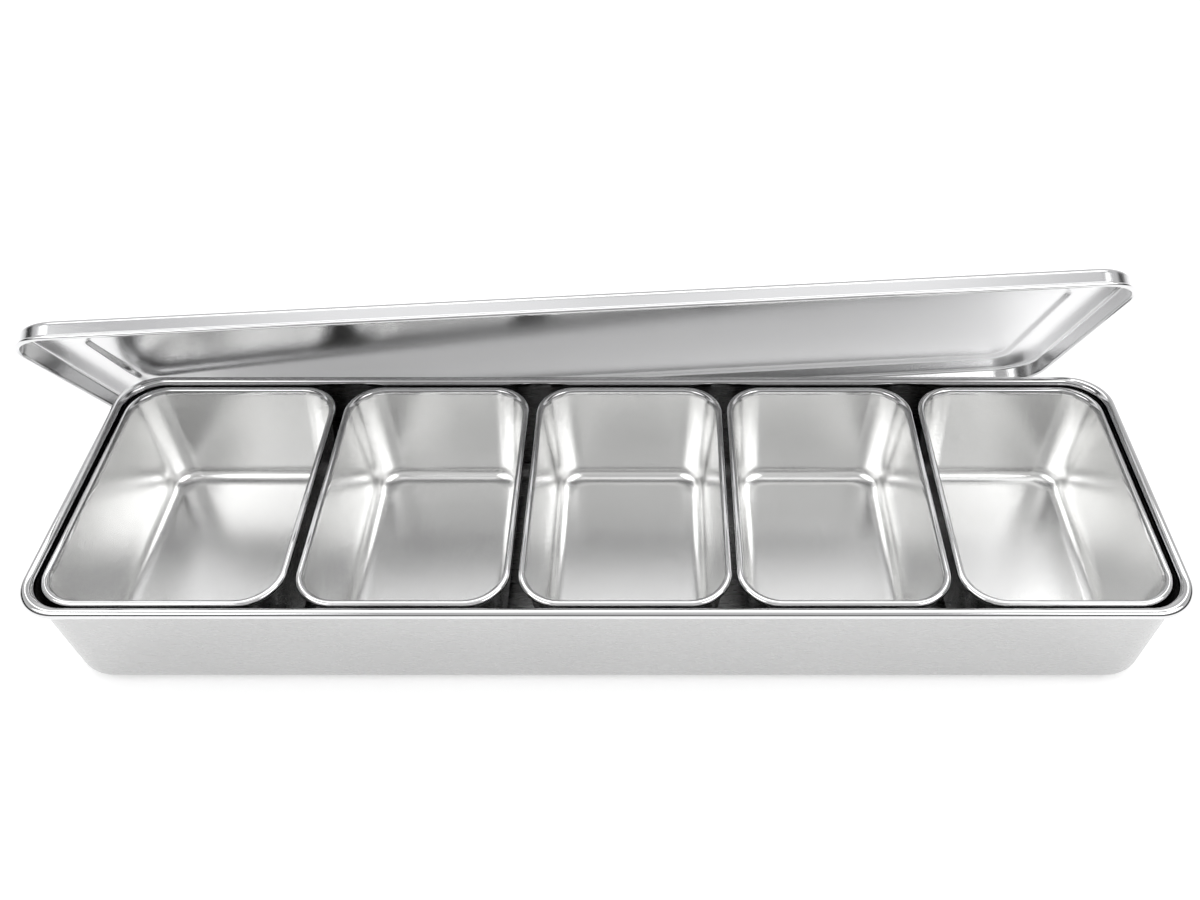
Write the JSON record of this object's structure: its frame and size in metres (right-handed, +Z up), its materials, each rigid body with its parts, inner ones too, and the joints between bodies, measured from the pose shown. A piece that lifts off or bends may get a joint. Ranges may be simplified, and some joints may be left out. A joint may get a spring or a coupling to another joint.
{
  "type": "condiment holder",
  "caption": "Long narrow tray with a curled rim, holding a row of loose rectangular drop-in pans, with a loose flanged cover that leans over its back rim.",
  "frame": {"origin": "centre of the tray's flat underside", "axes": "+X along the tray to the right, +Y to the back, where the cover leans, +Z up"},
  "size_m": [0.4225, 0.1714, 0.1168],
  "materials": {
    "tray_steel": "satin, with a polished rim",
    "pan_steel": "satin, with a polished rim",
    "cover_steel": "smooth, bright"
  },
  "bodies": {
    "tray": {"tray": "tray_steel"},
    "lid": {"lid": "cover_steel"},
    "pan_1": {"pan_1": "pan_steel"},
    "pan_2": {"pan_2": "pan_steel"},
    "pan_3": {"pan_3": "pan_steel"},
    "pan_4": {"pan_4": "pan_steel"},
    "pan_5": {"pan_5": "pan_steel"}
  },
  "joints": [
    {"name": "lid_lift", "type": "slide", "parent": "tray", "child": "lid", "axis": [0, 0, 1], "range_m": [0, 0.15]},
    {"name": "pan_1_tip", "type": "hinge", "parent": "tray", "child": "pan_1", "pos_m": [-0.15673, 0.0556, 0.0466], "axis": [-1, 0, 0], "range_deg": [0, 35]},
    {"name": "pan_2_tip", "type": "hinge", "parent": "tray", "child": "pan_2", "pos_m": [-0.07239, 0.0556, 0.0466], "axis": [-1, 0, 0], "range_deg": [0, 35]},
    {"name": "pan_3_tip", "type": "hinge", "parent": "tray", "child": "pan_3", "pos_m": [0.00625, 0.0556, 0.0466], "axis": [-1, 0, 0], "range_deg": [0, 35]},
    {"name": "pan_4_tip", "type": "hinge", "parent": "tray", "child": "pan_4", "pos_m": [0.08379, 0.0556, 0.0466], "axis": [-1, 0, 0], "range_deg": [0, 35]},
    {"name": "pan_5_tip", "type": "hinge", "parent": "tray", "child": "pan_5", "pos_m": [0.16193, 0.0556, 0.0466], "axis": [-1, 0, 0], "range_deg": [0, 35]}
  ]
}
